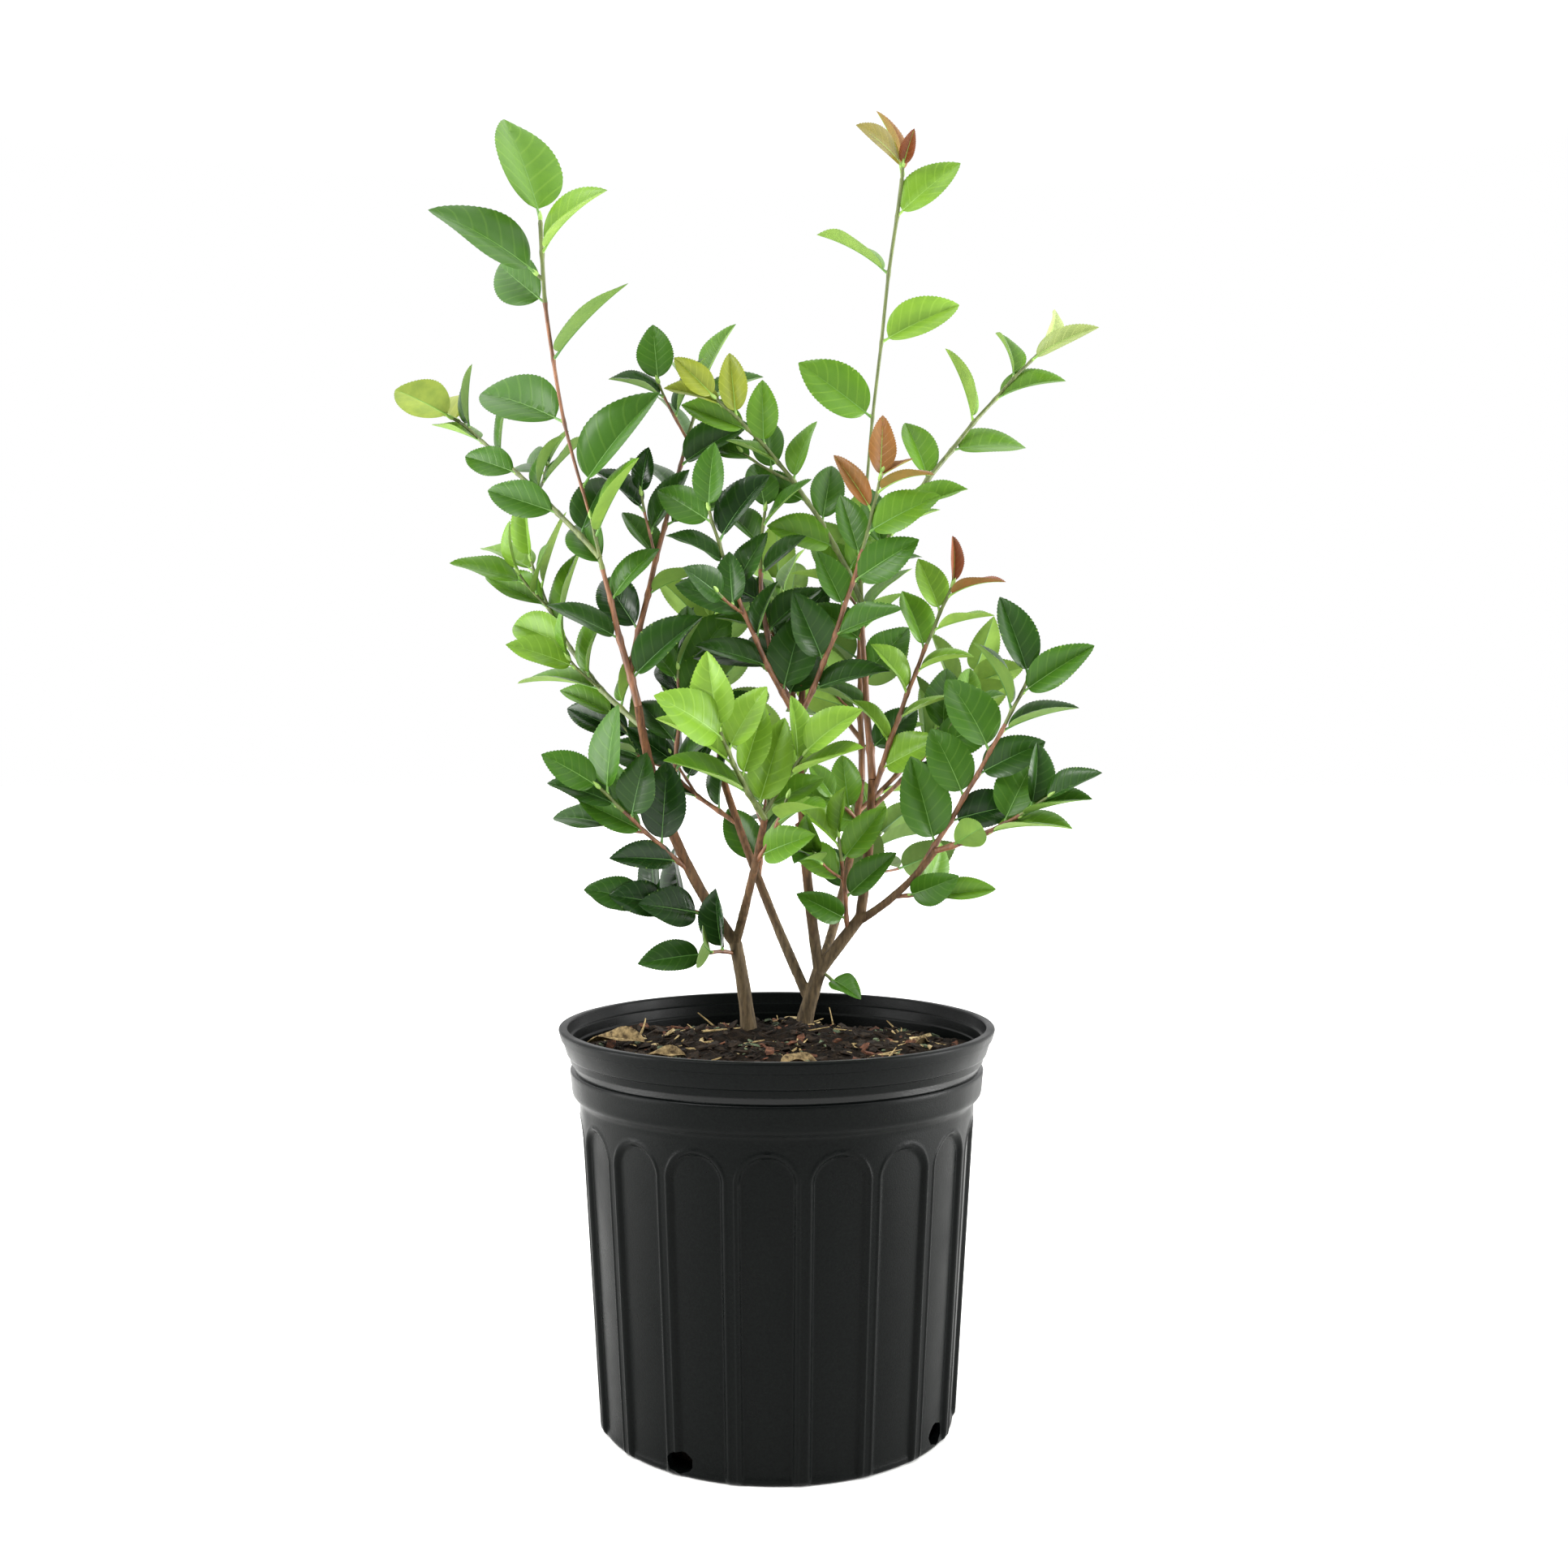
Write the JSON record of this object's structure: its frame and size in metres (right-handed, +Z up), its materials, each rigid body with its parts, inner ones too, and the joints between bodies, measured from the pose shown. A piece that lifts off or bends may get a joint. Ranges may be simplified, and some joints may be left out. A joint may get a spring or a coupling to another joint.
{
  "type": "camellia shrub in a nursery pot",
  "caption": "Young evergreen camellia shrub with slender upright stems and glossy serrated leaves, growing in a round black fluted nursery pot filled with bark mix.",
  "frame": {"origin": "centre of the pot's flat underside, on the surface it stands on", "axes": "+Z up, +X to the viewer's right, -Y towards the viewer at the front"},
  "size_m": [0.4663, 0.2975, 0.8576],
  "materials": {
    "pot_plastic": "satin black moulded plastic",
    "growing_mix": "damp peat and bark chips",
    "bark": "grey-brown bark, reddish on young wood",
    "leaf_dark": "glossy dark green leaf",
    "leaf_mid": "glossy mid green leaf",
    "leaf_light": "glossy young lime green leaf"
  },
  "bodies": {
    "root": {"back_bough": "bark", "back_left_leaves": "leaf_mid", "back_mid_leaves": "leaf_mid", "back_side_leaves": "leaf_dark", "centre_bough": "bark", "centre_crown_leaves": "leaf_mid", "centre_low_leaves": "leaf_mid", "fan_low_leaves": "leaf_mid", "fan_upper_leaves": "leaf_mid", "foot_left_leaves": "leaf_dark", "front_bough": "bark", "front_light_leaves": "leaf_light", "front_mid_leaves": "leaf_light", "growing_mix": "growing_mix", "inner_side_leaves": "leaf_mid", "left_bough": "bark", "left_crown_leaves": "leaf_mid", "left_low_leaves": "leaf_dark", "left_mid_leaves": "leaf_mid", "left_skirt_leaves": "leaf_dark", "left_upright_leaves": "leaf_mid", "low_right_bough": "bark", "pot": "pot_plastic", "rear_bough": "bark", "rear_crown_leaves": "leaf_mid", "rear_low_leaves": "leaf_dark", "rear_right_leaves": "leaf_mid", "right_bough": "bark", "right_crown_leaves": "leaf_light", "right_foot": "bark", "right_inner_leaves": "leaf_mid", "right_side_leaves": "leaf_mid", "right_skirt_leaves": "leaf_dark", "trunk_left": "bark", "trunk_right": "bark"}
  },
  "joints": []
}
